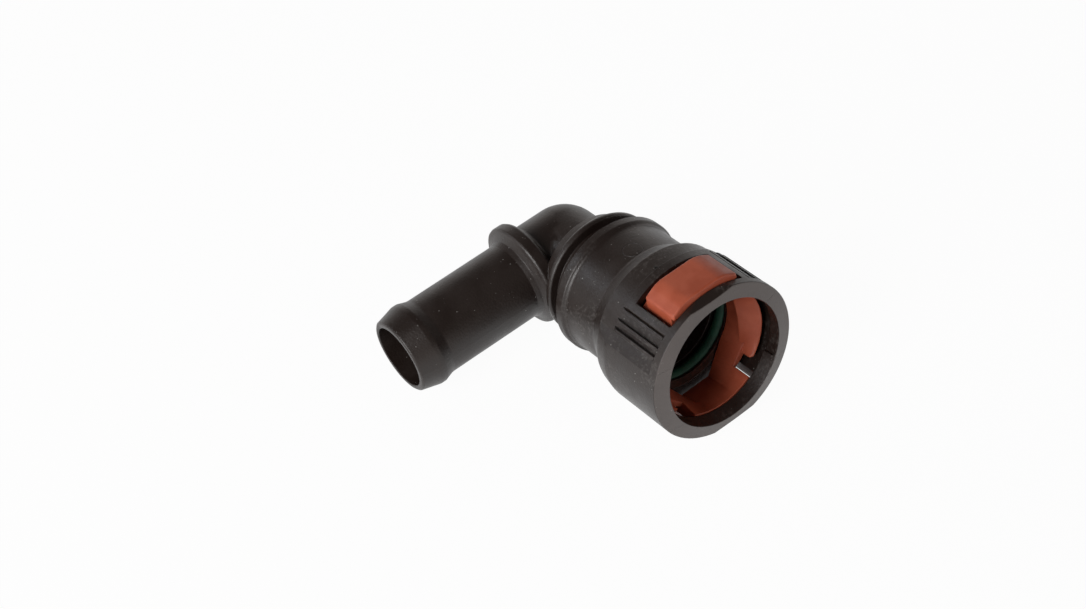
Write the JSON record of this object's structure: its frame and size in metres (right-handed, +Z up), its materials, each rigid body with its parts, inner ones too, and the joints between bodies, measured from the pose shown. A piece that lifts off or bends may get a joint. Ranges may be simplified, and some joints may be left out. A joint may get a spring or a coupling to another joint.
{
  "type": "elbow quick coupling",
  "caption": "Right-angle quick coupling with a hose barb and a push-release socket: black moulded body, red-brown locking retainer with pads, green seal",
  "frame": {"origin": "centre of the bounding box on the ground, with the coupling lying as it comes to rest", "axes": "+Z up. The socket opens towards +X and its mouth is lifted by the lower pad; the hose barb points along -Y and a little down"},
  "size_m": [0.06, 0.057, 0.0357],
  "materials": {
    "elbow_body": "moulded, satin, near black",
    "retainer": "moulded, satin, red-brown",
    "seal_ring": "smooth moulded rubber, dark green",
    "securing_ring": "moulded, satin, dark red-brown"
  },
  "bodies": {
    "coupling": {"elbow_body": "elbow_body", "seal_ring": "seal_ring", "securing_ring": "securing_ring"},
    "push_ring": {"retainer": "retainer"}
  },
  "joints": [
    {"name": "pad_press", "type": "slide", "parent": "coupling", "child": "push_ring", "axis": [0.1513, 0.0802, -0.9852], "range_m": [-0.0008, 0.0008], "stiffness_N_per_m": 2000}
  ]
}
